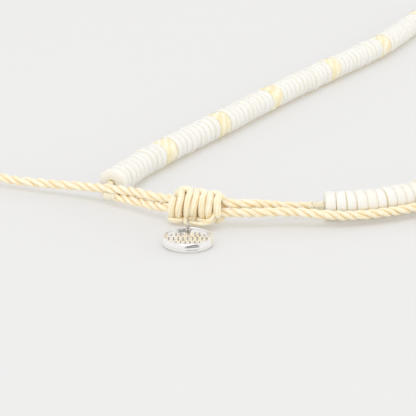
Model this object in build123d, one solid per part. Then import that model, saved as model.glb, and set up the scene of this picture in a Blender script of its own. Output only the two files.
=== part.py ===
from build123d import *
from math import cos, radians, sin, sqrt, tan
import os

# A choker of white shell discs and mother-of-pearl beads on a thread, lying on a surface in a closed loop.
# A waxed cord is tied to each end of the thread. Both cords run through one sliding knot, in opposite
# directions, and end in an overhand knot each. A small pierced silver charm hangs on a ring from the knot.
# Lengths are millimetres. Places are measured from the knot at the front of the loop, and at the end every
# piece is moved, so that the origin is under the middle of the box round the necklace without its cords.

# Space that the loop lies in
loop_width = 118.5
loop_length = 132.6

# Beads and thread
bead_diameter = 4.0
disc_thickness = 1.1
disc_gap = 0.25
nacre_length = 3.0
nacre_edge = 0.3
disc_bore = 1.0
nacre_bore = 1.2
thread_diameter = 0.7
end_gap = 0.15  # between the last disc and the whipping, or the bend of the thread

# White discs in each group, from the left end on: those in view, then each group of the hidden stretch, and
# then the group at the right end
left_disc_counts = [10, 9, 10, 12, 11, 12]
hidden_disc_count = 11
right_disc_count = 10

# Cords and their whippings
cord_diameter = 1.3
whipping_diameter = 1.35
whipping_length = 1.6
whipping_lead = 1.0  # straight thread before the left whipping
end_knot_diameter = 3.2
end_knot_length = 2.8
end_knot_round = 0.75
tag_length = 1.4

# Sliding knot: half knots stacked along two cores, one cord over the other
half_knot_count = 7
half_knot_pitch = 1.05
half_knot_lean = 7  # degrees, the first to the left and then to each side in turn
knot_strand = 1.25
knot_clearance = 0.12
core_gap = 0.12
knot_turn = -18  # degrees from +X, seen from above
knot_rise = 3  # degrees, up to the right
knot_place = (-1.31, -1.04)

# The knot's loose strand that carries the ring, in the knot's own frame
loop_strand = 0.9
loop_left, loop_right = -1.4, 2.4  # its corners along the knot
loop_foot = 0.75  # how far its feet lie outside the corners
loop_reach = 2.85  # in front of the knot's axis
loop_root = 1.2
loop_corner = 0.8
ring_on_loop = -0.48

# Ring and charm
ring_wire = 0.3
ring_lift = 0.27  # under the ring's lower run
ring_slack = 0.15  # between the ring's inside and what it holds
hole_slack = 0.2
ring_over_rim = 0.52
ring_straight = 1.37
charm_diameter = 6.9
rim_height = 1.25
rim_wall = 0.42
rim_round = 0.16
plate_bottom = 0.15
plate_thickness = 0.3
slot_width = 0.42
slot_length = 1.05
slot_pitch = 0.86
slot_margin = 0.3  # metal between a slot and the rim
row_pitch = 1.4
keyhole_width = 0.9

# Thread route from the left cord's end to the right one's. left_bend is the bend behind the right cord, and
# from there the route lies at the height of the bead axes. The hidden stretch is in shares of the loop's
# width and length.
left_bend = [(-14.5, 8.55, 1.4), (-13.75, 9.5, bead_diameter / 2)]
left_route = [
    (-12.3, 12.6), (-9.5, 18.9), (-4.6, 27.4), (1.8, 37.7), (10.6, 52.8), (20.7, 68.6), (30.8, 83.8),
]
hidden_route = [
    (0.324, 0.762), (0.39, 0.876), (0.488, 0.958), (0.608, 0.983), (0.727, 0.95), (0.815, 0.87),
    (0.856, 0.762), (0.852, 0.643), (0.814, 0.522), (0.743, 0.406), (0.646, 0.299), (0.528, 0.204),
]
right_route = [
    (46.8, 16.3), (36.1, 9.9), (30.0, 6.12), (27.0, 4.16), (24.1, 2.7), (21.2, 1.7), (18.24, 1.127),
]

# Cord routes, from the whipping to the end knot
cord_left_route = [
    (-12.6, 5.95, 1.0), (-10.0, 4.15, 1.35), (-6.55, 0.66, 1.95), (3.14, -2.49, 2.49),
    (7.7, -1.85, 2.08), (11.5, -1.8, 1.93), (15.1, -2.1, 1.65), (18.4, -1.87, 1.45), (21.8, -1.1, 1.4),
    (25.0, 0.05, 1.4), (28.2, 1.6, 1.38), (31.4, 3.4, 1.5), (34.0, 4.3, 1.62),
]
cord_right_route = [
    (14.15, 0.84, bead_diameter / 2), (12.3, 0.71, bead_diameter / 2), (9.9, 0.2, 2.45),
    (7.1, -0.75, 3.2), (3.07, -2.46, 3.91), (-6.62, 0.69, 3.37), (-9.6, 4.1, 2.88), (-13.5, 7.0, 2.42),
    (-18.6, 9.85, 1.9), (-24.4, 12.5, 1.4), (-28.8, 14.3, 1.3), (-31.4, 15.6, 1.62),
]

corner_share = 0.45  # of the shorter run at a corner that its arc may take
axis_height = bead_diameter / 2
cord_radius = cord_diameter / 2


def cornered_path(points):
    """Straight runs joined by arcs as large as the two runs of each corner allow, and the arcs' radii."""
    points = [Vector(*p) for p in points]
    radii = []
    for before, corner, after in zip(points, points[1:], points[2:]):
        turn = (corner - before).get_angle(after - corner)
        run = min((corner - before).length, (after - corner).length)
        radii.append(corner_share * run / tan(radians(turn / 2)))
    return FilletPolyline(*points, radius=radii), radii


def tube(path, diameter):
    start = Plane(origin=path @ 0, z_dir=path % 0)
    return sweep(start * Circle(diameter / 2), path=path)


def direction(a, b):
    return (Vector(*b) - Vector(*a)).normalized()


def bead_places(start, stop):
    """The middle of each disc and of each nacre bead, as two lists of lengths along the thread."""
    room = stop - start
    shown = sum(left_disc_counts) + right_disc_count
    shown_length = shown * (disc_thickness + disc_gap) + len(left_disc_counts) * (nacre_length + disc_gap)
    group_length = hidden_disc_count * (disc_thickness + disc_gap) + nacre_length + disc_gap
    hidden = int((room - shown_length + disc_gap) / group_length)
    groups = left_disc_counts + [hidden_disc_count] * hidden + [right_disc_count]
    beads = sum(groups) + len(groups) - 1
    solid = sum(groups) * disc_thickness + (len(groups) - 1) * nacre_length
    gap = (room - solid) / (beads - 1)
    discs, nacre, along = [], [], start
    for i, count in enumerate(groups):
        if i:
            nacre.append(along + nacre_length / 2)
            along += nacre_length + gap
        for _ in range(count):
            discs.append(along + disc_thickness / 2)
            along += disc_thickness + gap
    print(f"{len(discs)} discs, {len(nacre)} nacre beads, gap {gap:.3f}, strand {room:.1f} long")
    return discs, nacre


def on_path(path, solid, along):
    where = path.position_at(along, position_mode=PositionMode.LENGTH)
    way = path.tangent_at(along, position_mode=PositionMode.LENGTH)
    return Plane(origin=where, z_dir=way).location * solid


def half_knot():
    """One turn of the knot's strand round both cores: two half rings joined by straight sides."""
    bend = cord_radius + knot_clearance + knot_strand / 2
    cap = Torus(bend, knot_strand / 2, major_angle=180, align=None)
    upper = Pos(0, 0, core_pitch / 2) * Plane.YZ.location * cap
    side = Cylinder(knot_strand / 2, core_pitch)
    return upper + Rot(180, 0, 0) * upper + Pos(0, bend, 0) * side + Pos(0, -bend, 0) * side


def sliding_knot():
    turn = half_knot()
    stack = [
        Pos((i - (half_knot_count - 1) / 2) * half_knot_pitch, 0, 0)
        * Rot(0, -half_knot_lean * (-1) ** i, 0) * turn
        for i in range(half_knot_count)
    ]
    body = knot_frame.location * stack[0].fuse(*stack[1:])
    corners = [
        (loop_left - loop_foot, -loop_root), (loop_left, -loop_reach), (loop_right, -loop_reach),
        (loop_right + loop_foot, -loop_root),
    ]
    points = [knot_frame.from_local_coords(Vector(x, y, 0)) for x, y in corners]
    path = FilletPolyline(*[Vector(p.X, p.Y, ring_height) for p in points], radius=loop_corner)
    return body + tube(path, loop_strand)


def jump_ring():
    """An oval ring in an upright plane, through the rim's hole and round the knot's loose strand."""
    centre = ring_far - Vector(0, ring_straight / 2, 0)
    plane = Plane(origin=centre, x_dir=(0, 1, 0), z_dir=(1, 0, 0))
    outline = plane * SlotCenterToCenter(ring_straight, 2 * ring_radius)
    path = outline.face().outer_wire()
    start = Plane(origin=path @ 0, z_dir=path % 0)
    return sweep(start * Circle(ring_wire / 2), path=path)


def charm():
    """A flat cup without a floor: a rim round a lower plate, which is cut through in rows of slots."""
    inner = charm_diameter / 2 - rim_wall
    rim = Cylinder(charm_diameter / 2, rim_height, align=(Align.CENTER, Align.CENTER, Align.MIN))
    rim = fillet(rim.edges().filter_by(GeomType.CIRCLE), rim_round)
    rim -= Cylinder(inner, rim_height, align=(Align.CENTER, Align.CENTER, Align.MIN))
    plate = Pos(0, 0, plate_bottom) * Cylinder(
        inner + rim_wall / 2, plate_thickness, align=(Align.CENTER, Align.CENTER, Align.MIN)
    )
    keyhole_end = charm_centre.Y + inner - (ring_near_tip - ring_wire / 2 - ring_slack)
    keyhole = Pos(0, inner - keyhole_end / 2, 0) * Box(keyhole_width, keyhole_end, 2 * rim_height)
    slot, slots = SlotOverall(slot_length, slot_width, rotation=90), []
    rows = int((inner - slot_margin - slot_length / 2) / row_pitch)
    columns = int(inner / slot_pitch) + 1
    for row in range(-rows, rows + 1):
        shift = slot_pitch / 2 if row % 2 else 0
        for column in range(-columns, columns + 1):
            x, y = column * slot_pitch + shift, row * row_pitch
            corner = sqrt((abs(x) + slot_width / 2) ** 2 + (abs(y) + slot_length / 2) ** 2)
            by_keyhole = row == rows and abs(x) < (keyhole_width + slot_width) / 2 + slot_margin
            if corner < inner - slot_margin / 2 and not by_keyhole:
                slots.append(Pos(x, y, 0) * extrude(slot, rim_height))
    plate = plate.cut(*slots) - keyhole
    wall_middle = charm_diameter / 2 - rim_wall / 2
    hole = Rot(90, 0, 0) * Cylinder(ring_hole / 2, 2 * rim_wall)
    return Pos(*charm_centre) * (rim + plate - Pos(0, wall_middle, ring_hole_height) * hole)


def whipping(end, way):
    """Thread wound round the joint of cord and thread, from the cord's end towards the thread."""
    plane = Plane(origin=end, z_dir=way)
    return plane.location * Cylinder(
        whipping_diameter / 2, whipping_length, align=(Align.CENTER, Align.CENTER, Align.MIN)
    )


def end_knot(route):
    """The tight overhand knot on a cord's end as a barrel, with the cord's short tag past it."""
    on_end = (Align.CENTER, Align.CENTER, Align.MIN)
    barrel = Cylinder(end_knot_diameter / 2, end_knot_length, align=on_end)
    barrel = fillet(barrel.edges().filter_by(GeomType.CIRCLE), end_knot_round)
    tag = Pos(0, 0, end_knot_length) * Cylinder(cord_radius, tag_length, align=on_end)
    return Plane(origin=route[-1], z_dir=direction(route[-2], route[-1])).location * (barrel + tag)


core_pitch = cord_diameter + core_gap

# The knot stands on its lower end, so its middle is half of its height and of its rise above the surface.
knot_half_height = core_pitch / 2 + cord_radius + knot_clearance + knot_strand
knot_half_length = ((half_knot_count - 1) * half_knot_pitch + knot_strand) / 2
knot_height = knot_half_height * cos(radians(knot_rise)) + knot_half_length * sin(radians(knot_rise))
across, up = cos(radians(knot_rise)), sin(radians(knot_rise))
knot_frame = Plane(
    origin=(*knot_place, knot_height),
    x_dir=(across * cos(radians(knot_turn)), across * sin(radians(knot_turn)), up),
    z_dir=(-up * cos(radians(knot_turn)), -up * sin(radians(knot_turn)), across),
)

# The ring goes under and over the charm's rim and round the loose strand, whichever asks for more room.
ring_radius = ring_wire / 2 + max(
    loop_strand / 2 + ring_slack, (rim_height + ring_over_rim - ring_lift - ring_wire) / 2
)
ring_height = ring_lift + ring_wire / 2 + ring_radius
on_loop = knot_frame.from_local_coords(Vector(ring_on_loop, -loop_reach, 0))
ring_far = Vector(on_loop.X, on_loop.Y, ring_height)
ring_near = ring_far.Y - ring_straight
ring_near_tip = ring_near - ring_radius

# The rim's wall passes inside the ring's near end, and its hole is where the ring's lower run goes through.
rim_inside = ring_near - (ring_radius - ring_wire / 2 - ring_slack)
charm_centre = Vector(ring_far.X, rim_inside - (charm_diameter / 2 - rim_wall), 0)
past_rim = [max(ring_near - face, 0) for face in (rim_inside, rim_inside + rim_wall)]
high, low = [ring_height - sqrt(ring_radius ** 2 - past ** 2) for past in past_rim]
ring_hole_height = (high + low) / 2
ring_hole = high - low + ring_wire + 2 * hole_slack

cord_left_path, cord_left_radii = cornered_path(cord_left_route)
cord_right_path, cord_right_radii = cornered_path(cord_right_route)
left_way = direction(cord_left_route[1], cord_left_route[0])
right_way = direction(cord_right_route[1], cord_right_route[0])
left_joint = Vector(*cord_left_route[0]) + left_way * whipping_length
right_joint = Vector(*cord_right_route[0]) + right_way * whipping_length

bend = [left_joint, left_joint + left_way * whipping_lead, *left_bend]
hidden_places = [(x * loop_width, y * loop_length) for x, y in hidden_route]
strand = [(x, y, axis_height) for x, y in left_route + hidden_places + right_route]
thread_path, thread_radii = cornered_path([*bend, *strand, right_joint])
# The first disc lies past the bend, whose three corners have a run and an arc each.
bend_length = sum(edge.length for edge in thread_path.order_edges()[:6])
discs, nacre = bead_places(bend_length + end_gap, thread_path.length - end_gap)

disc = Cylinder(bead_diameter / 2, disc_thickness) - Cylinder(disc_bore / 2, disc_thickness)
bead = Cylinder(bead_diameter / 2, nacre_length)
bead = fillet(bead.edges().filter_by(GeomType.CIRCLE), nacre_edge)
bead -= Cylinder(nacre_bore / 2, nacre_length)
pieces = {"white_shell_discs": [on_path(thread_path, disc, along) for along in discs]}
for number, along in enumerate(nacre, 1):
    pieces[f"nacre_bead_{number:02}"] = [on_path(thread_path, bead, along)]
pieces["stringing_thread"] = [tube(thread_path, thread_diameter)]
pieces["whipping_left"] = [whipping(cord_left_route[0], left_way)]
pieces["whipping_right"] = [whipping(cord_right_route[0], right_way)]
pieces["sliding_knot"] = [sliding_knot()]
pieces["jump_ring"] = [jump_ring()]
pieces["charm"] = [charm()]
box = Compound([solid for solids in pieces.values() for solid in solids]).bounding_box()
loop_middle = Vector((box.min.X + box.max.X) / 2, (box.min.Y + box.max.Y) / 2, 0)
print(f"middle of the loop: {loop_middle.X:.3f}, {loop_middle.Y:.3f}, lowest point {box.min.Z:.3f}")

for name, route, path, radii in [
    ("cord_left", cord_left_route, cord_left_path, cord_left_radii),
    ("cord_right", cord_right_route, cord_right_path, cord_right_radii),
]:
    pieces[name] = [tube(path, cord_diameter)]
    pieces[name.replace("cord", "end_knot")] = [end_knot(route)]
    print(f"{name}: {path.length:.1f} long, radii", " ".join(f"{r:.1f}" for r in radii))
    by_length = Circle(cord_radius).area * path.length
    print(f"{name}: {pieces[name][0].volume:.2f}, section times length {by_length:.2f}")

os.makedirs("parts", exist_ok=True)
for name, solids in pieces.items():
    moved = [Pos(*(-loop_middle)) * solid for solid in solids]
    export_step(moved[0] if len(moved) == 1 else Compound(children=moved), f"parts/{name}.step")
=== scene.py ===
import math

import bpy
import numpy as np
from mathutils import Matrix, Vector


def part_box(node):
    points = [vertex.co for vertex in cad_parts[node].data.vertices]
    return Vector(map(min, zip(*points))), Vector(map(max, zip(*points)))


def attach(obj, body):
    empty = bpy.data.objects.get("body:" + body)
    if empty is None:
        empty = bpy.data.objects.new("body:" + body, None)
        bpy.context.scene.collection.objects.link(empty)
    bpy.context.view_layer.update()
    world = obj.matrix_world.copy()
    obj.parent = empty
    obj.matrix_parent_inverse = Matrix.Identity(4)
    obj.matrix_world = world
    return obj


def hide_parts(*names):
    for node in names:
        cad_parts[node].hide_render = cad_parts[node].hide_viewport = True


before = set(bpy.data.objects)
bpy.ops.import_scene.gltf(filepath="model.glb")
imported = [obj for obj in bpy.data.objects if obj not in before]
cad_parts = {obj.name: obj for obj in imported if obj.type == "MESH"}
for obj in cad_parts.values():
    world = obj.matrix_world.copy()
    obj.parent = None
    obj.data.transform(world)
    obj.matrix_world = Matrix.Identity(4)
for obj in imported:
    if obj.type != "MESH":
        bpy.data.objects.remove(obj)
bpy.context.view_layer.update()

scene = bpy.context.scene
scene.view_settings.view_transform = "Standard"

# Camera: a long lens close to the sliding knot, 20 degrees above the surface that the necklace lies on.
# Places near the knot are measured in millimetres from there. The frame's origin is the loop's middle.
MIDDLE_X, MIDDLE_Y = 44.006, 59.792


def from_knot(x, y, z):
    return Vector(((x - MIDDLE_X) / 1000, (y - MIDDLE_Y) / 1000, z / 1000))


camera_data = bpy.data.cameras.new("camera")
camera_data.sensor_width = 36.0
camera_data.lens = 163.56
camera_data.clip_start, camera_data.clip_end = 0.01, 20.0
camera = bpy.data.objects.new("camera", camera_data)
camera.location = from_knot(0, -239.3, 89.1)
camera.rotation_euler = (from_knot(0, 0, 2) - camera.location).to_track_quat("-Z", "Y").to_euler()
scene.collection.objects.link(camera)
scene.camera = camera

# Waxed cords: three plies of cream polyester laid to the right and waxed, 1.3 mm thick. Each is tied to one
# end of the bead thread, runs through the sliding knot against the other, and ends in an overhand knot.
CORD_DIAMETER = 0.0013
CROWN_RADIUS = 0.000675  # out to the crowns of the plies
PLIES = 3
CORD_LAY, LOOSE_LAY = 0.0047, 0.0059
CORD_LAYS = {"left": CORD_LAY, "right": (CORD_LAY, LOOSE_LAY)}
CORD_ROUTES = {
    "left": [
        (-12.6, 6.2, 1.35), (-10.0, 4.3, 1.5), (-6.6, 0.75, 1.8), (3.14, -2.65, 2.2), (7.7, -1.95, 2.1),
        (11.5, -1.8, 2.12), (15.1, -2.1, 1.85), (18.4, -1.87, 1.55), (21.8, -1.1, 1.5), (25.0, 0.05, 1.5),
        (28.2, 1.6, 1.5), (31.4, 3.4, 1.6), (34.0, 4.3, 1.62),
    ],
    "right": [
        (14.15, 0.84, 1.95), (12.3, 0.75, 1.9), (9.9, 0.4, 2.13), (7.1, -0.38, 2.72), (3.07, -1.63, 3.18),
        (-6.62, 1.2, 2.95), (-9.6, 4.3, 2.75), (-13.5, 7.0, 2.3), (-18.6, 9.75, 1.75), (-24.4, 12.2, 1.35),
        (-28.8, 14.0, 1.25), (-31.4, 15.3, 1.62),
    ],
}
TWIST_WAVES = [(940, 1.0, 0.0), (2310, 0.6, 1.7)]  # each wave's radians in a metre, share and start


def add_spline(curve, kind, places, closed):
    spline = curve.splines.new(kind)
    spline.points.add(len(places) - 1)
    for point, place in zip(spline.points, places):
        point.co = (*place, 1.0)
    spline.use_cyclic_u = closed
    return spline


def mesh_of(curve):
    """The mesh that a curve makes. The curve is removed."""
    carrier = bpy.data.objects.new(curve.name, curve)
    mesh = bpy.data.meshes.new_from_object(carrier)
    bpy.data.objects.remove(carrier)
    bpy.data.curves.remove(curve)
    return mesh


def smooth_line(places):
    """The NURBS line led by places in metres, as points close together."""
    curve = bpy.data.curves.new("line", "CURVE")
    curve.dimensions = "3D"
    curve.resolution_u = 24
    spline = add_spline(curve, "NURBS", places, closed=False)
    spline.order_u = 3
    spline.use_endpoint_u = True
    mesh = mesh_of(curve)
    points = np.array([vertex.co for vertex in mesh.vertices])
    bpy.data.meshes.remove(mesh)
    return points


def spaced_evenly(points, step):
    """The same line with points about one step apart."""
    along = np.concatenate([[0], np.cumsum(np.linalg.norm(np.diff(points, axis=0), axis=1))])
    places = np.linspace(0, along[-1], max(int(round(along[-1] / step)), 2) + 1)
    return np.stack([np.interp(places, along, points[:, i]) for i in range(3)], axis=1)


def carried_sideways(points, first_side):
    """Two directions across a line at each point, carried along it without turning round it."""
    ways = np.gradient(points, axis=0)
    ways /= np.linalg.norm(ways, axis=1)[:, None]
    sides = np.zeros_like(points)
    side = np.array(first_side, float)
    for i, way in enumerate(ways):
        side = side - way * (side @ way)
        side /= np.linalg.norm(side)
        sides[i] = side
    return sides, np.cross(ways, sides)


def smooth_mesh(name, points, faces, material):
    mesh = bpy.data.meshes.new(name)
    mesh.from_pydata([tuple(point) for point in points], [], faces)
    mesh.polygons.foreach_set("use_smooth", [True] * len(mesh.polygons))
    mesh.materials.append(material)
    return mesh


def placed(name, data):
    thing = bpy.data.objects.new(name, data)
    scene.collection.objects.link(thing)
    return thing


def worn_piece(name, mesh):
    """A piece of the necklace, which is all one body."""
    piece = placed(name, mesh)
    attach(piece, "root")
    return piece


def ply_outline(plies, overlap, per_ply):
    """Outline of plies pressed together, as angles and shares of the radius. overlap is how far they
    merge."""
    touching = 1.1547  # how many ply radii the axes of three touching plies lie from the middle
    axis = (1 - overlap) * touching / (1 + touching)
    ply = 1 - axis
    half = math.pi / plies
    angles, shares = [], []
    for k in range(plies):
        for j in range(per_ply):
            off = half * (2 * j / per_ply - 1)
            angles.append(2 * half * k + off)
            shares.append(axis * math.cos(off) + math.sqrt(ply ** 2 - (axis * math.sin(off)) ** 2))
    return np.array(angles), np.array(shares)


def tube_faces(n_line, n_around):
    """Faces of a tube of rings, with a fan over each end round the two points that follow the rings."""
    faces = []
    for i in range(n_line - 1):
        for j in range(n_around):
            k = (j + 1) % n_around
            here, there = i * n_around, (i + 1) * n_around
            faces.append((here + j, here + k, there + k, there + j))
    start, stop, last = n_line * n_around, n_line * n_around + 1, (n_line - 1) * n_around
    for j in range(n_around):
        k = (j + 1) % n_around
        faces.append((start, k, j))
        faces.append((stop, last + j, last + k))
    return faces


def mark_strand(mesh, along, shares):
    """Adds the attribute crease, which is 1 in the groove between two plies, and the UV map strand, which
    runs along the strand in millimetres and round it."""
    n_line, n_around = len(along), len(shares)
    depth = (shares.max() - shares) / (shares.max() - shares.min())
    crease = mesh.attributes.new("crease", "FLOAT", "POINT")
    crease.data.foreach_set("value", np.concatenate([np.tile(depth, n_line), [1, 1]]).astype(np.float32))
    of_ring = np.concatenate([np.repeat(along, n_around), along[[0, -1]]]) * 1000
    of_turn = np.concatenate([np.tile(np.arange(n_around) / n_around, n_line), [0, 0]])
    uv = []
    for polygon in mesh.polygons:
        turns = [of_turn[v] for v in polygon.vertices]
        wraps = max(turns) - min(turns) > 0.5
        for v, share in zip(polygon.vertices, turns):
            uv += [of_ring[v], share + (1 if wraps and share < 0.5 else 0)]
    mesh.uv_layers.new(name="strand").data.foreach_set("uv", uv)


def swept_strand(name, points, radius, lay, material, step=0.00016, plies=PLIES, overlap=0.22, per_ply=10,
                 turn=0.0, first_side=(0, 0, 1), taper=0.0, sway=0.0):
    """A strand of plies along points, which turn round each other once in a lay, or in lays from the first
    to the last. turn is where the twist starts, and sway how far it runs ahead and falls behind, both in
    radians. taper is how long the rounded ends are."""
    line = spaced_evenly(points, step)
    sides, others = carried_sideways(line, first_side)
    angles, shares = ply_outline(plies, overlap, per_ply)
    along = np.arange(len(line)) * np.linalg.norm(line[1] - line[0])
    lays = np.linspace(*(lay if isinstance(lay, tuple) else (lay, lay)), len(line))
    spin = turn + 2 * math.pi * np.cumsum(along[1] / lays)
    for pace, share, start in TWIST_WAVES:
        spin += sway * share * np.sin(along * pace + start)
    swell = np.ones(len(line))
    if taper:
        blunt = 0.02
        to_end = np.clip(np.minimum(along, along[-1] - along) / taper, 0, 1)
        swell = np.sqrt(np.clip(1 - (1 - to_end) ** 2, blunt, 1))
    around = angles[None, :] + spin[:, None]
    reach = radius * shares[None, :] * swell[:, None]
    rings = (line[:, None, :]
             + (reach * np.cos(around))[:, :, None] * sides[:, None, :]
             + (reach * np.sin(around))[:, :, None] * others[:, None, :])
    surface_points = np.vstack([rings.reshape(-1, 3), line[:1], line[-1:]])
    mesh = smooth_mesh(name, surface_points, tube_faces(len(line), len(angles)), material)
    mark_strand(mesh, along, shares)
    return worn_piece(name, mesh)


def node_group(kind, name, inputs, outputs):
    """An empty node group with named sockets, given as (kind, name, value) or as (kind, name)."""
    group = bpy.data.node_groups.new(name, kind)
    for socket_kind, socket, value in inputs:
        made = group.interface.new_socket(socket, in_out="INPUT", socket_type=socket_kind)
        if value is not None:
            made.default_value = value
    for socket_kind, socket in outputs:
        group.interface.new_socket(socket, in_out="OUTPUT", socket_type=socket_kind)
    return group, group.nodes.new("NodeGroupInput"), group.nodes.new("NodeGroupOutput")


def set_inputs(tree, node, values):
    """Sets inputs, by name or number. A value that is another node's output is linked."""
    for key, value in values.items():
        if isinstance(value, bpy.types.NodeSocket):
            tree.links.new(value, node.inputs[key])
        else:
            node.inputs[key].default_value = value


def new_node(tree, kind, values=None, **settings):
    node = tree.nodes.new(kind)
    for key, value in settings.items():
        setattr(node, key, value)
    set_inputs(tree, node, values or {})
    return node


def mixed_number(tree, share, first, second):
    return new_node(tree, "ShaderNodeMix", {"Factor": share, 2: first, 3: second},
                    data_type="FLOAT").outputs[0]


def mixed_colour(tree, share, first, second):
    """The first colour where share is 0, and the second where it is 1. Each may be another node's output."""
    ends = [end if isinstance(end, bpy.types.NodeSocket) else (*end, 1) for end in (first, second)]
    return new_node(tree, "ShaderNodeMix", {"Factor": share, 6: ends[0], 7: ends[1]},
                    data_type="RGBA").outputs[2]


def stretched(tree, value, low, high, to_low=0.0, to_high=1.0):
    """value, moved so that low becomes to_low and high becomes to_high, and held between them."""
    return new_node(tree, "ShaderNodeMapRange", {"Value": value, "From Min": low, "From Max": high,
                                                 "To Min": to_low, "To Max": to_high}).outputs[0]


def relief(tree, height, strength, distance):
    return new_node(tree, "ShaderNodeBump", {"Height": height, "Strength": strength,
                                             "Distance": distance}).outputs[0]


def new_material(name):
    material = bpy.data.materials.new(name)
    material.use_nodes = True
    return material, material.node_tree, material.node_tree.nodes["Principled BSDF"]


fibres, fibres_in, fibres_out = node_group(
    "ShaderNodeTree", "laid fibres",
    [("NodeSocketVector", "Along and round", None), ("NodeSocketFloat", "Fibres round", 34.0),
     ("NodeSocketFloat", "Unevenness", 0.35)],
    [("NodeSocketFloat", "Light fibres"), ("NodeSocketFloat", "Height")],
)
strand_place = fibres_in.outputs["Along and round"]
stretch = new_node(fibres, "ShaderNodeCombineXYZ", {"X": 0.35, "Y": fibres_in.outputs["Fibres round"]})
fine = new_node(fibres, "ShaderNodeVectorMath", {0: strand_place, 1: stretch.outputs[0]},
                operation="MULTIPLY")
hairs = new_node(fibres, "ShaderNodeTexNoise", {"Vector": fine.outputs[0], "Scale": 1.0, "Detail": 2.0,
                                                "Roughness": 0.6}).outputs["Fac"]
patchy = new_node(fibres, "ShaderNodeTexNoise", {"Vector": strand_place, "Scale": 1.3,
                                                 "Detail": 1.0}).outputs["Fac"]
uneven = mixed_number(fibres, fibres_in.outputs["Unevenness"], hairs, patchy)
light = stretched(fibres, uneven, low=0.38, high=0.62)
set_inputs(fibres, fibres_out, {"Light fibres": light, "Height": hairs})


def waxed_material(name, crown, shade, groove, hollow_shade, fibres_round=34.0, bump=0.00008, pocket=0.0006):
    """Waxed yarn: crown on top of the plies and shade in uneven patches, both tones of its own. The groove
    colour is painted shade between two plies, fainter where that faces up or down, as painted light from
    above, and the last colour is painted shade where strands within the pocket's width keep the light out."""
    material, tree, surface = new_material(name)
    uv = new_node(tree, "ShaderNodeUVMap", uv_map="strand").outputs[0]
    lines = new_node(tree, "ShaderNodeGroup", {"Along and round": uv, "Fibres round": fibres_round},
                     node_tree=fibres)
    depth = new_node(tree, "ShaderNodeAttribute", attribute_name="crease").outputs["Fac"]
    yarn = mixed_colour(tree, lines.outputs["Light fibres"], shade, crown)
    normal = new_node(tree, "ShaderNodeNewGeometry").outputs["Normal"]
    facing = new_node(tree, "ShaderNodeSeparateXYZ", {0: normal}).outputs["Z"]
    steep = new_node(tree, "ShaderNodeMath", {0: facing}, operation="ABSOLUTE").outputs[0]
    # Painted light: the groove's painted shade fades where the surface faces up or down.
    shade_by_facing = stretched(tree, steep, low=0.45, high=0.95, to_low=1.0, to_high=0.45)
    deep = stretched(tree, depth, low=0.35, high=0.9)
    groove_shade_share = new_node(tree, "ShaderNodeMath", {0: deep, 1: shade_by_facing}, operation="MULTIPLY").outputs[0]
    creased = mixed_colour(tree, groove_shade_share, yarn, groove)
    # Painted shade: ambient occlusion within the pocket's width tints the yarn towards the last colour.
    open_air = new_node(tree, "ShaderNodeAmbientOcclusion", {"Distance": pocket}, samples=6).outputs["AO"]
    lit = stretched(tree, open_air, low=0.05, high=0.5)
    set_inputs(tree, surface, {
        "Base Color": mixed_colour(tree, lit, hollow_shade, creased),
        "Normal": relief(tree, lines.outputs["Height"], strength=0.8, distance=bump),
        "Roughness": 0.5, "Coat Weight": 0.15, "Coat Roughness": 0.35, "Sheen Weight": 0.15,
        "Subsurface Weight": 0.5, "Subsurface Radius": (1.0, 0.92, 0.8), "Subsurface Scale": 0.0004,
    })
    return material


# Its groove and hollow colours are painted shade, golden brown in the creases and pockets.
waxed_cord = waxed_material("waxed cord", crown=(0.98, 0.90, 0.75), shade=(0.94, 0.79, 0.53),
                            groove=(0.87, 0.67, 0.33), hollow_shade=(0.92, 0.68, 0.28))
cords = {}
for side, route in CORD_ROUTES.items():
    centre = smooth_line([from_knot(*place) for place in route])
    cord = swept_strand(f"waxed_cord_{side}", centre, CROWN_RADIUS, CORD_LAYS[side], waxed_cord,
                        overlap=0.12, sway=0.22)
    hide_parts(f"cord_{side}")
    cords[side] = (cord, centre)

# End knots: each cord ends in one tight overhand knot, tied in the cord itself, with a short tag past it.
OVERHAND_TURNS = [  # millimetres past the end of the route, millimetres out from its line, degrees round it
    (0.0, 0.0, 0), (0.45, 0.5, 0), (0.75, 0.9, 70), (0.95, 0.93, 150), (1.2, 0.93, 230), (1.4, 0.93, 310),
    (1.6, 0.93, 390), (1.85, 0.93, 470), (2.05, 0.9, 550), (2.3, 0.5, 620), (2.7, 0.1, 650), (4.2, 0.0, 650),
]


def past_end(end, before, turns):
    """Places past one end of a route. before is the route's place next to that end."""
    end, before = from_knot(*end), from_knot(*before)
    way = (end - before).normalized()
    across = way.cross(Vector((0, 0, 1))).normalized()
    up = across.cross(way)
    places = []
    for along, out, turn in turns:
        angle = math.radians(turn)
        places.append(end + (way * along + (across * math.cos(angle) + up * math.sin(angle)) * out) / 1000)
    return np.array([list(place) for place in places])


for side, route in CORD_ROUTES.items():
    knot_line = smooth_line(past_end(route[-1], route[-2], OVERHAND_TURNS))
    knot = swept_strand(f"overhand_knot_{side}", knot_line, CORD_DIAMETER / 2, CORD_LAY, waxed_cord)
    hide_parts(f"end_knot_{side}")

for side, (cord, centre) in cords.items():
    length = float(np.linalg.norm(np.diff(centre, axis=0), axis=1).sum())

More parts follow.
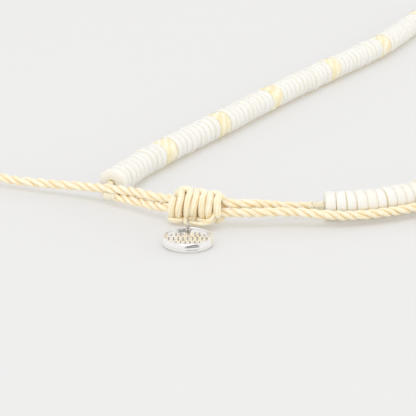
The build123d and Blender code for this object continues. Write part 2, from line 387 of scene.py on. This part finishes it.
# Whippings: waxed thread wound close over the joint of each cord and the bead thread. Its turns press into
# each other and into a core of the same thread.
WHIPPING_LENGTHS = {"left": 2.05, "right": 1.6}
WHIPPING_RADIUS, CORE_RADIUS = 0.64, 0.55
WINDING_PITCH = 0.26
WINDING_RADIUS = WINDING_PITCH / 1.54  # over half the pitch, so that the turns merge
WINDING_LAY, CORE_LAY = 0.0016, 0.006
PLACES_A_TURN = 12
# Its groove and hollow colours are painted shade between the wound turns.
whipping_thread = waxed_material("whipping thread", crown=(1.0, 0.925, 0.74), shade=(1.0, 0.885, 0.66),
                                 groove=(1.0, 0.84, 0.57), hollow_shade=(1.0, 0.82, 0.52), fibres_round=12.0,
                                 bump=0.000004, pocket=0.00012)
whipping_ends = {}
for side, length in WHIPPING_LENGTHS.items():
    first, second = CORD_ROUTES[side][:2]
    count = int((length / WINDING_PITCH - 1) * PLACES_A_TURN) + 1
    turns = [(WINDING_PITCH * (0.5 + i / PLACES_A_TURN), WHIPPING_RADIUS - WINDING_PITCH / 2,
              360 * i / PLACES_A_TURN) for i in range(count)]
    winding = swept_strand(f"wound_whipping_{side}", past_end(first, second, turns), WINDING_RADIUS / 1000,
                           WINDING_LAY, whipping_thread, step=0.00012, overlap=0.6, per_ply=4)
    core_line = past_end(first, second, [(0, 0, 0), (length, 0, 0)])
    core = swept_strand(f"whipping_core_{side}", core_line, CORE_RADIUS / 1000, CORE_LAY, whipping_thread,
                        per_ply=6)
    whipping_ends[side] = core_line[1]
    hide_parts(f"whipping_{side}")

# Sliding knot: a strand of the same waxed yarn, tied round both cords in seven half knots. Its bars zigzag up
# the front and the back, turn over in loops above and below, and are crossed by two bights at the foot.
FRONT_BARS = [
    (-3.1, -3.5), (-2.06, -2.45), (-1.02, -1.22), (0.04, -0.36), (0.96, 0.93), (2.02, 1.82), (2.98, 3.16),
]
BACK_BARS = [(-3.05, -3.2), (-2.1, -2.0), (-1.05, -0.95), (0.0, 0.05), (1.05, 1.1), (2.1, 2.1), (2.95, 3.1)]
FRONT_HEIGHTS = [(-1.2, -1.05), (-0.65, -1.34), (0.0, -1.32), (0.65, -1.08), (1.3, -0.7)]
BACK_HEIGHTS = [(-1.3, 0.45), (-0.7, 0.95), (0.0, 1.45), (0.6, 1.6), (1.1, 1.35)]
FRONT_LOOPS = [
    (-0.75, -1.35, 0), (0.7, 1.85, 0.15), (-1.25, -1.72, 0), (0.7, 1.68, 0.1), (-0.8, -1.45, 0),
    (0.7, 1.5, 0.14),
]
BACK_LOOPS = [(0.5, 1.35, 0), (-0.1, -1.8, 0), (0.5, 1.3, 0), (-0.1, -1.8, 0), (0.5, 1.2, 0), (-0.1, -1.8, 0)]
LOOP_LEAN, SHOULDER_LEAN, SHOULDER_HEIGHT = 0.35, 0.1, 0.65
LEFT_BIGHT = [
    (-3.6, -0.3, -1.3), (-3.85, -0.9, -1.55), (-3.55, -1.35, -1.8), (-2.6, -1.45, -1.9), (-1.9, -1.2, -1.85),
    (-1.7, -0.5, -1.7),
]
RIGHT_BIGHT = [
    (0.6, -0.5, -1.4), (0.45, -1.25, -1.6), (1.0, -1.6, -1.75), (1.9, -1.6, -1.7), (2.5, -1.45, -1.3),
    (2.7, -1.1, -0.7), (2.6, -0.5, -0.3),
]
KNOT_LAY, KNOT_TAPER = 0.024, 0.0006
KNOT_TURN, KNOT_RISE = math.radians(-18), math.radians(2.5)
knot_along = Vector((math.cos(KNOT_RISE) * math.cos(KNOT_TURN), math.cos(KNOT_RISE) * math.sin(KNOT_TURN),
                     math.sin(KNOT_RISE)))
knot_up = Vector((-math.sin(KNOT_RISE) * math.cos(KNOT_TURN), -math.sin(KNOT_RISE) * math.sin(KNOT_TURN),
                  math.cos(KNOT_RISE)))
knot_back = knot_up.cross(knot_along)
knot_middle = from_knot(-1.31, -0.9, 2.72)


def in_knot(x, y, z):
    return knot_middle + (knot_along * x + knot_back * y + knot_up * z) / 1000


def zigzag(bars, heights, loops, goes_up):
    """Places along the bars of one face. bars gives the top and the foot of each along the knot, heights the
    common bend of a bar from its foot up, and loops where each turn lies: how far back, how high and how far
    it spreads past its two bars. A loop that spreads leans to the left."""
    places = []
    lowest, highest = heights[0][0], heights[-1][0]
    for i, (top, foot) in enumerate(bars):
        bend = [(foot + (top - foot) * (z - lowest) / (highest - lowest), y, z) for z, y in heights]
        places += bend if goes_up else bend[::-1]
        if i < len(bars) - 1:
            before, after = (bars[k][0 if goes_up else 1] for k in (i, i + 1))
            y, z, spread = loops[i]
            if spread:
                end_y, end_z = bend[-1 if goes_up else 0][1:]
                shoulder = ((end_y + y) / 2, end_z + (z - end_z) * SHOULDER_HEIGHT)
                places += [(before - spread - SHOULDER_LEAN, *shoulder), (before - spread - LOOP_LEAN, y, z),
                           (after + spread - LOOP_LEAN, y, z), (after + spread - SHOULDER_LEAN, *shoulder)]
            else:
                places += [(before, y, z), (after, y, z)]
        goes_up = not goes_up
    return places


# Its groove and hollow colours are painted shade, dark golden in the gaps between the knot's bars.
knot_cord = waxed_material("knot cord", crown=(0.99, 0.93, 0.78), shade=(0.96, 0.83, 0.57),
                           groove=(0.89, 0.69, 0.37), hollow_shade=(0.88, 0.60, 0.18), pocket=0.0012)
for name, places, radius, turn in (  # radius in millimetres, and where the twist starts
    ("knot_front", zigzag(FRONT_BARS, FRONT_HEIGHTS, FRONT_LOOPS, goes_up=False), 0.52, 0.4),
    ("knot_back", zigzag(BACK_BARS, BACK_HEIGHTS, BACK_LOOPS, goes_up=True), 0.54, 1.2),
    ("knot_bight_left", LEFT_BIGHT, 0.36, 0.0),
    ("knot_bight_right", RIGHT_BIGHT, 0.46, 0.6),
):
    strand_line = smooth_line([in_knot(*place) for place in places])
    strand = swept_strand(name, strand_line, radius / 1000, KNOT_LAY, knot_cord, plies=7, overlap=0.36,
                          per_ply=6, turn=turn, first_side=tuple(knot_back), taper=KNOT_TAPER)
    if name == "knot_front":
        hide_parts("sliding_knot")

# Slack strand: one thin ply of the knot's last turn, left loose at the front, where it carries the ring. It
# comes out at the knot's foot and goes back in at its right end.
SLACK_RADIUS, SLACK_LAY = 0.0003, 0.008
SLACK_ROUTE = [  # along and out from the knot, and up from the surface
    (-1.0, -0.9, 1.3), (-1.05, -1.7, 1.25), (-1.0, -2.5, 1.18), (-0.75, -2.85, 1.17), (-0.2, -2.85, 1.17),
    (0.9, -2.85, 1.13), (1.7, -2.75, 1.2), (2.4, -2.35, 1.5), (2.65, -1.8, 1.9), (2.7, -1.1, 2.2),
]
slack_line = smooth_line([(*in_knot(x, y, 0).xy, z / 1000) for x, y, z in SLACK_ROUTE])
slack = swept_strand("slack_strand", slack_line, SLACK_RADIUS, SLACK_LAY, knot_cord, overlap=0.4, per_ply=6,
                     turn=2.4)

# Jump ring: oval of drawn silver wire, bent shut, through the hole in the charm's rim and round the slack
# strand. It is darker than the charm.
WIRE_RADIUS = 0.00015
RING_PLACES = 64


def object_noise(tree, scale, detail=2.0):
    place = new_node(tree, "ShaderNodeTexCoord").outputs["Object"]
    return new_node(tree, "ShaderNodeTexNoise", {"Vector": place, "Scale": scale,
                                                 "Detail": detail}).outputs["Fac"]


def silver_material(name, bright, dull, dents=0.0):
    """Polished silver with fine rubbing marks from bright to dull, and with cast dents this deep."""
    material, tree, surface = new_material(name)
    rubbing = object_noise(tree, scale=2500.0, detail=3.0)
    set_inputs(tree, surface, {
        "Metallic": 1.0,
        "Roughness": stretched(tree, rubbing, low=0.0, high=1.0, to_low=0.08, to_high=0.24),
        "Base Color": mixed_colour(tree, rubbing, bright, dull),
    })
    if dents:
        cast = object_noise(tree, scale=1500.0, detail=1.0)
        set_inputs(tree, surface, {"Normal": relief(tree, cast, strength=1.0, distance=dents)})
    return material


ring_low, ring_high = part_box("jump_ring")
ring_middle = (ring_low + ring_high) / 2
ring_bend = (ring_high.z - ring_low.z) / 2 - WIRE_RADIUS
ring_straight = (ring_high.y - ring_low.y) / 2 - WIRE_RADIUS - ring_bend
ring_line = []
for i in range(RING_PLACES):
    angle = 2 * math.pi * (i + 0.5) / RING_PLACES
    y = ring_bend * math.cos(angle) + math.copysign(ring_straight, math.cos(angle))
    ring_line.append((ring_middle.x, ring_middle.y + y, ring_middle.z + ring_bend * math.sin(angle)))
ring_curve = bpy.data.curves.new("jump ring", "CURVE")
ring_curve.dimensions = "3D"
ring_curve.bevel_depth = WIRE_RADIUS
ring_curve.bevel_resolution = 4
add_spline(ring_curve, "POLY", ring_line, closed=True).use_smooth = True
ring_mesh = mesh_of(ring_curve)
ring_mesh.materials.clear()
ring_mesh.materials.append(silver_material("drawn silver wire", (0.66, 0.61, 0.56), (0.52, 0.48, 0.44)))
ring = worn_piece("silver_jump_ring", ring_mesh)
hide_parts("jump_ring")

# Charm: a round cup rim of cast silver without a floor, and a plate let into it, pierced with rows of slots.
# The rim's foot is bevelled, and a hole through its wall takes the ring, for which the plate has a keyhole.
# The plate keeps slight dents from casting.
SILVER_TONES = [(0.99, 0.98, 0.96), (0.96, 0.94, 0.91)]
RIM_PROFILE = [  # millimetres from the axis and up
    (3.22, 0.0), (3.28, 0.02), (3.41, 0.43), (3.405, 0.46), (3.37, 0.49), (3.37, 0.52), (3.43, 0.55),
    (3.45, 0.59), (3.435, 0.72), (3.39, 0.87), (3.325, 1.02), (3.25, 1.15), (3.2, 1.22), (3.15, 1.25),
    (3.1, 1.25), (3.06, 1.22), (3.035, 1.16), (3.03, 1.04), (3.03, 0.06), (3.06, 0.0),
]
RIM_SEGMENTS = 112
HOLE_RADIUS, HOLE_SIDES = 0.3, 24
HOLE_INNER, HOLE_OUTER = 2.7, 3.8
PLATE_RADIUS = 3.06
PLATE_BOTTOM, PLATE_TOP, PLATE_BEVEL = 0.5, 0.8, 0.02
SLOT_WIDTH, SLOT_PITCH, SLOT_REACH, SHORTEST_SLOT = 0.2, 0.62, 2.78, 0.15
SLOT_ROWS = [(-2.6, -0.85), (-0.65, 0.75), (0.95, 2.5)]
SLOT_COLUMNS = range(-6, 7)
KEYHOLE_WIDTH, KEYHOLE_FOOT, KEYHOLE_SQUASH = 0.8, 2.3, 0.6
charm_low, charm_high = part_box("charm")
charm_middle = (charm_low + charm_high) / 2


def in_charm(x, y, z):
    return (charm_middle.x + x / 1000, charm_middle.y + y / 1000, z / 1000)


def finished_mesh(carrier):
    """The mesh that an object's modifiers make. The object is removed."""
    bpy.context.view_layer.update()
    evaluated = carrier.evaluated_get(bpy.context.evaluated_depsgraph_get())
    mesh = bpy.data.meshes.new_from_object(evaluated)
    bpy.data.objects.remove(carrier)
    return mesh


def arc(x, y, radius, first, last, steps, squash=1.0):
    """Points round a middle, from one angle to another."""
    angles = [first + (last - first) * i / steps for i in range(steps + 1)]
    return [(x + radius * math.cos(angle), y + radius * math.sin(angle) * squash, 0) for angle in angles]


silver = silver_material("polished silver", *SILVER_TONES)
rim_points, rim_faces = [], []
count = len(RIM_PROFILE)
for i in range(RIM_SEGMENTS):
    angle = 2 * math.pi * i / RIM_SEGMENTS
    rim_points += [in_charm(r * math.cos(angle), r * math.sin(angle), z) for r, z in RIM_PROFILE]
    here, there = i * count, (i + 1) % RIM_SEGMENTS * count
    for j in range(count):
        k = (j + 1) % count
        rim_faces.append((here + j, there + j, there + k, here + k))
drill_points = []
for y in (HOLE_INNER, HOLE_OUTER):
    for i in range(HOLE_SIDES):
        angle = 2 * math.pi * i / HOLE_SIDES
        drill_points.append(in_charm(HOLE_RADIUS * math.cos(angle), y,
                                     ring_middle.z * 1000 + HOLE_RADIUS * math.sin(angle)))
drill_faces = [(i, i + HOLE_SIDES, (i + 1) % HOLE_SIDES + HOLE_SIDES, (i + 1) % HOLE_SIDES)
               for i in range(HOLE_SIDES)]
drill_faces += [tuple(range(HOLE_SIDES)), tuple(range(2 * HOLE_SIDES - 1, HOLE_SIDES - 1, -1))]
undrilled = placed("undrilled rim", smooth_mesh("charm_rim", rim_points, rim_faces, silver))
drill = placed("drill", smooth_mesh("drill", drill_points, drill_faces, silver))
undrilled.modifiers.new("hole", "BOOLEAN").object = drill
rim = worn_piece("charm_rim", finished_mesh(undrilled))
bpy.data.objects.remove(drill)
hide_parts("charm")

plate_curve = bpy.data.curves.new("plate", "CURVE")
plate_curve.dimensions = "2D"
plate_curve.fill_mode = "BOTH"
plate_curve.extrude = (PLATE_TOP - PLATE_BOTTOM) / 2 - PLATE_BEVEL
plate_curve.bevel_depth = PLATE_BEVEL
plate_curve.bevel_resolution = 1
half_key = math.asin(KEYHOLE_WIDTH / 2 / PLATE_RADIUS)
plate_edge = arc(0, 0, PLATE_RADIUS, math.pi / 2 - half_key, half_key - 3 * math.pi / 2, steps=96)
plate_edge += arc(0, KEYHOLE_FOOT, KEYHOLE_WIDTH / 2, math.pi, 2 * math.pi, steps=10, squash=KEYHOLE_SQUASH)
add_spline(plate_curve, "POLY", plate_edge, closed=True)
for foot, top in SLOT_ROWS:
    staggered = SLOT_PITCH / 2 if foot * top > 0 else 0
    for column in SLOT_COLUMNS:
        x = column * SLOT_PITCH + staggered
        if abs(x) > SLOT_REACH or foot > 0 and abs(x) < KEYHOLE_WIDTH:
            continue
        limit = math.sqrt(SLOT_REACH ** 2 - x ** 2)
        low, high = max(foot, -limit) + SLOT_WIDTH / 2, min(top, limit) - SLOT_WIDTH / 2
        if high - low >= SHORTEST_SLOT:
            slot_edge = arc(x, high, SLOT_WIDTH / 2, 0, math.pi, steps=6)
            slot_edge += arc(x, low, SLOT_WIDTH / 2, math.pi, 2 * math.pi, steps=6)
            add_spline(plate_curve, "POLY", slot_edge, closed=True)
plate_mesh = mesh_of(plate_curve)
for vertex in plate_mesh.vertices:
    vertex.co = in_charm(vertex.co.x, vertex.co.y, vertex.co.z + (PLATE_TOP + PLATE_BOTTOM) / 2)
plate_mesh.materials.clear()
plate_mesh.materials.append(silver_material("cast silver", *SILVER_TONES, dents=0.00012))
plate = worn_piece("charm_plate", plate_mesh)

# White shell discs: rounds 4 mm across of plain white shell, ground thin, drilled and threaded face to face.
# No two are quite alike: they differ a little in size, thickness, tilt and tone.
DISC_SIZES = {
    "Length": 0.00142, "Shortest": 0.93, "Bore": 0.00092, "Eased edge": 0.00012, "Sides": 22,
    "Size spread": 0.05, "Tilt": 0.028, "Offset": 0.00007,
}
FULL_TURN = 6.283


def islands(node):
    """The middle and the axis of each separate solid of a node."""
    mesh = node.data
    places = np.array([vertex.co for vertex in mesh.vertices])
    _, same = np.unique(np.round(places, 7), axis=0, return_inverse=True)
    same = same.reshape(-1)
    parent = list(range(same.max() + 1))

    def top(i):
        while parent[i] != i:
            parent[i] = parent[parent[i]]
            i = parent[i]
        return i

    for polygon in mesh.polygons:
        a, *others = [top(same[v]) for v in polygon.vertices]
        for b in others:
            parent[top(b)] = top(a)
    label = np.array([top(i) for i in same])
    found = []
    for i in np.unique(label):
        own = np.unique(np.round(places[label == i], 7), axis=0)
        middle = (own.min(axis=0) + own.max(axis=0)) / 2
        _, spread, ways = np.linalg.svd(own - own.mean(axis=0), full_matrices=False)
        found.append((middle, ways[2 if spread[1] - spread[2] > spread[0] - spread[1] else 0]))
    return found


bead_tree, bead_in, bead_out = node_group(
    "GeometryNodeTree", "drilled beads",
    [("NodeSocketGeometry", "Places", None), ("NodeSocketMaterial", "Material", None),
     ("NodeSocketFloat", "Diameter", 0.004), ("NodeSocketFloat", "Length", 0.0012),
     ("NodeSocketFloat", "Bore", 0.001), ("NodeSocketFloat", "Eased edge", 0.0002),
     ("NodeSocketInt", "Sides", 20), ("NodeSocketInt", "Edge steps", 1),
     ("NodeSocketFloat", "Size spread", 0.02), ("NodeSocketFloat", "Shortest", 0.9),
     ("NodeSocketFloat", "Tilt", 0.02), ("NodeSocketFloat", "Offset", 0.00004),
     ("NodeSocketInt", "Seed", 3)],
    [("NodeSocketGeometry", "Geometry")],
)
given = bead_in.outputs


def step(kind, values=None, **settings):
    return new_node(bead_tree, kind, values, **settings).outputs


def maths(operation, first, second):
    return step("ShaderNodeMath", {0: first, 1: second}, operation=operation)[0]


def drawn_number(low, high, more=None):
    """A number drawn for each bead."""
    return step("FunctionNodeRandomValue", {2: low, 3: high, "Seed": given["Seed"], **(more or {})},
                data_type="FLOAT")[1]


def drawn_vector(low, high):
    """A vector drawn for each bead."""
    return step("FunctionNodeRandomValue", {0: low, 1: high, "Seed": given["Seed"]},
                data_type="FLOAT_VECTOR")[0]


def drawn_across(most):
    """A vector across the bead, drawn up to most each way."""
    low, high = (step("ShaderNodeCombineXYZ", {"X": end, "Y": end})[0]
                 for end in (maths("MULTIPLY", most, -1.0), most))
    return drawn_vector(low, high)


wall = maths("MULTIPLY", maths("SUBTRACT", given["Diameter"], given["Bore"]), 0.5)
wall_middle = maths("MULTIPLY", maths("ADD", given["Diameter"], given["Bore"]), 0.25)
wall_outline = step("GeometryNodeCurvePrimitiveQuadrilateral", {"Width": wall, "Height": given["Length"]})[0]
eased = step("GeometryNodeFilletCurve", {"Curve": wall_outline, "Radius": given["Eased edge"],
                                         "Limit Radius": True, "Count": given["Edge steps"]}, mode="POLY")[0]
round_path = step("GeometryNodeCurvePrimitiveCircle", {"Resolution": given["Sides"],
                                                       "Radius": wall_middle})["Curve"]
tube = step("GeometryNodeCurveToMesh", {"Curve": round_path, "Profile Curve": eased})[0]
axis = step("GeometryNodeInputNamedAttribute", {"Name": "axis"}, data_type="FLOAT_VECTOR")["Attribute"]
upright = step("FunctionNodeAlignRotationToVector", {"Vector": axis}, axis="Z")[0]
across_size = drawn_number(maths("SUBTRACT", 1.0, given["Size spread"]), 1.0)
along_size = drawn_number(given["Shortest"], 1.0, {"ID": step("GeometryNodeInputIndex")[0]})
size = step("ShaderNodeCombineXYZ", {"X": across_size, "Y": across_size, "Z": along_size})[0]
threaded = step("GeometryNodeInstanceOnPoints", {"Points": given["Places"], "Instance": tube,
                                                 "Rotation": upright, "Scale": size})[0]
for turned_by in (drawn_vector((0, 0, 0), (0, 0, FULL_TURN)), drawn_across(given["Tilt"])):
    threaded = step("GeometryNodeRotateInstances", {"Instances": threaded, "Rotation": turned_by,
                                                    "Local Space": True})[0]
moved = step("GeometryNodeTranslateInstances", {"Instances": threaded, "Local Space": True,
                                                "Translation": drawn_across(given["Offset"])})[0]
shaded = step("GeometryNodeStoreNamedAttribute", {"Geometry": moved, "Name": "shade",
                                                  "Value": drawn_number(0.0, 1.0)},
              data_type="FLOAT", domain="INSTANCE")[0]
single = step("GeometryNodeRealizeInstances", {"Geometry": shaded})[0]
finished = step("GeometryNodeSetMaterial", {"Geometry": single, "Material": given["Material"]})[0]
set_inputs(bead_tree, bead_out, {"Geometry": finished})


def threaded_beads(name, nodes, values):
    """One mesh of the beads that stand for nodes, each at its own solid's place. values are inputs of the
    tree."""
    found = [place for node in nodes for place in islands(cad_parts[node])]
    mesh = bpy.data.meshes.new(name + " places")
    mesh.from_pydata([tuple(middle) for middle, _ in found], [], [])
    axes = mesh.attributes.new("axis", "FLOAT_VECTOR", "POINT")
    axes.data.foreach_set("vector", np.array([axis for _, axis in found], np.float32).ravel())
    carrier = placed(name + " places", mesh)
    modifier = carrier.modifiers.new("beads", "NODES")
    modifier.node_group = bead_tree
    for item in bead_tree.interface.items_tree:
        if item.in_out == "INPUT" and item.name in values:
            modifier[item.identifier] = values[item.name]
    made = finished_mesh(carrier)
    made.polygons.foreach_set("use_smooth", [True] * len(made.polygons))
    piece = worn_piece(name, made)
    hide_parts(*nodes)
    return piece


white_shell, tree, surface = new_material("white shell")
tone = new_node(tree, "ShaderNodeAttribute", attribute_name="shade").outputs["Fac"]
cloudy = mixed_number(tree, 0.45, tone, object_noise(tree, scale=420.0, detail=3.0))
shell_colour = mixed_colour(tree, cloudy, (0.865, 0.858, 0.82), (0.845, 0.825, 0.755))
# Painted shade: within 0.7 mm of another disc the shell turns warm golden, so the joins between discs look
# shaded.
open_air = new_node(tree, "ShaderNodeAmbientOcclusion", {"Distance": 0.0007}, samples=6).outputs["AO"]
set_inputs(tree, surface, {
    "Base Color": mixed_colour(tree, open_air, (0.92, 0.82, 0.58), shell_colour),
    "Normal": relief(tree, object_noise(tree, scale=2600.0), strength=0.35, distance=0.00003),
    "Roughness": 0.42,
    "Subsurface Weight": 0.4, "Subsurface Radius": (1.0, 1.0, 1.0), "Subsurface Scale": 0.0005,
})
discs = threaded_beads("shell_discs", ["white_shell_discs"], {**DISC_SIZES, "Material": white_shell})

# Nacre beads: pale yellow mother-of-pearl, cut to short tubes, drilled and polished, so that its layers show.
# One is threaded between each group of eleven discs and the next.
NACRE_SIZES = {
    "Length": 0.0032, "Shortest": 0.94, "Bore": 0.0012, "Eased edge": 0.0004, "Sides": 32, "Edge steps": 4,
    "Size spread": 0.02, "Tilt": 0.015, "Offset": 0.00003, "Seed": 11,
}
nacre, tree, surface = new_material("mother of pearl")
place = new_node(tree, "ShaderNodeTexCoord").outputs["Object"]
layers = new_node(tree, "ShaderNodeTexWave", {"Vector": place, "Scale": 260.0, "Distortion": 6.0,
                                              "Detail": 2.0, "Detail Scale": 1.6}).outputs["Fac"]
cloudy = mixed_number(tree, 0.5, object_noise(tree, scale=380.0), layers)
ramp = new_node(tree, "ShaderNodeValToRGB", {"Fac": cloudy})
stops = ramp.color_ramp.elements
stops[0].position, stops[0].color = 0.2, (0.86, 0.75, 0.47, 1)
stops[1].position, stops[1].color = 0.8, (0.92, 0.88, 0.71, 1)
stops.new(0.5).color = (0.90, 0.82, 0.56, 1)
set_inputs(tree, surface, {
    "Base Color": ramp.outputs[0], "Roughness": 0.22, "Coat Weight": 0.4, "Coat Roughness": 0.12,
    "Subsurface Weight": 0.2, "Subsurface Radius": (1.0, 0.8, 0.5), "Subsurface Scale": 0.0006,
    "Thin Film Thickness": 420.0, "Thin Film IOR": 1.5,
})
nacre_nodes = sorted(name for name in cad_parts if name.startswith("nacre_bead"))
beads = threaded_beads("nacre_beads", nacre_nodes, {**NACRE_SIZES, "Material": nacre})

# Stringing thread: cream waxed thread through every bead, from one whipping to the other. A short piece of it
# shows where the beads end.
THREAD_RADIUS, THREAD_LAY = 0.00045, 0.004
THREAD_START = [(-14.35, 8.3, 1.6), (-13.8, 9.4, 2.02), (-13.5, 10.04, 2.0)]
bead_thread, tree, surface = new_material("bead thread")
flecks = object_noise(tree, scale=3000.0)
set_inputs(tree, surface, {
    "Base Color": mixed_colour(tree, flecks, (0.92, 0.80, 0.55), (0.99, 0.93, 0.74)),
    "Roughness": 0.55,
})
unthreaded = [Vector(middle) for node in ["white_shell_discs", *nacre_nodes]
              for middle, _ in islands(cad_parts[node])]
thread_places = [whipping_ends["left"], *[from_knot(*place) for place in THREAD_START]]
while unthreaded:
    nearest = min(unthreaded, key=lambda middle: (middle - thread_places[-1]).length)
    unthreaded.remove(nearest)
    thread_places.append(nearest)
thread = swept_strand("bead_thread", smooth_line([*thread_places, whipping_ends["right"]]), THREAD_RADIUS,
                      THREAD_LAY, bead_thread, step=0.0004, overlap=0.5, per_ply=4)
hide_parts("stringing_thread")

# Floor: a pale matt board under the necklace. It glows a little with a warm painted light over a bluish base,
# which lifts and warms the shadows on it. It is large, so that no edge shows.
FLOOR_REACH = 3


def flat_board(name, x, y, material):
    """A rectangle that reaches x and y from its middle."""
    mesh = bpy.data.meshes.new(name)
    mesh.from_pydata([(-x, -y, 0), (x, -y, 0), (x, y, 0), (-x, y, 0)], [], [(0, 1, 2, 3)])
    mesh.materials.append(material)
    return placed(name, mesh)


floor_material, tree, surface = new_material("floor")
# The emission is painted light: a warm glow that lifts the shadows on the floor.
set_inputs(tree, surface, {
    "Base Color": (0.505, 0.519, 0.541, 1), "Roughness": 0.5, "Specular IOR Level": 0.2,
    "Emission Color": (1.0, 0.93, 0.82, 1), "Emission Strength": 0.27,
})
flat_board("floor", FLOOR_REACH, FLOOR_REACH, floor_material)

# Studio: an even white room, a softbox overhead in front on the left, and low fills from the front left and
# from the right that nothing mirrors. Two dark cards in front of the charm show only as reflections.
CARD_DISTANCE = 0.2
DARK_CARDS = [(20, 17, 62, 11), (24, 34, 48, 11)]  # degrees from the charm: to the right, up, width and depth
world = bpy.data.worlds.new("studio")
world.use_nodes = True
set_inputs(world.node_tree, world.node_tree.nodes["Background"], {"Color": (1, 1, 1, 1), "Strength": 0.90})
scene.world = world


def softbox(name, place, size, power):
    light = bpy.data.lights.new(name, "AREA")
    light.shape = "RECTANGLE"
    light.size, light.size_y = size
    light.energy = power
    lamp = placed(name, light)
    lamp.location = place
    lamp.rotation_euler = (from_knot(0, 0, 0) - lamp.location).to_track_quat("-Z", "Y").to_euler()
    return lamp


softbox("overhead_softbox", place=(-0.15, -0.45, 0.95), size=(0.7, 0.7), power=2.3)
front_fill = softbox("front_fill", place=(-0.4, -0.85, 0.14), size=(1.2, 0.3), power=1.5)
side_fill = softbox("side_fill", place=(0.95, 0.3, 0.3), size=(1.2, 0.4), power=2.6)
front_fill.visible_glossy = side_fill.visible_glossy = False

card_material, tree, surface = new_material("dark card")
set_inputs(tree, surface, {"Base Color": (0.02, 0.02, 0.02, 1)})
aim = Vector(in_charm(0, -3.3, 0.9))
for number, angles in enumerate(DARK_CARDS, 1):
    turn, height, width, depth = (math.radians(angle) for angle in angles)
    card = flat_board(f"dark_card_{number}", CARD_DISTANCE * math.tan(width / 2),
                      CARD_DISTANCE * math.tan(depth / 2), card_material)
    card.location = aim + CARD_DISTANCE * Vector((math.sin(turn) * math.cos(height),
                                                  -math.cos(turn) * math.cos(height), math.sin(height)))
    card.rotation_euler = (aim - card.location).to_track_quat("Z", "Y").to_euler()
    card.visible_camera = card.visible_diffuse = card.visible_shadow = card.visible_transmission = False
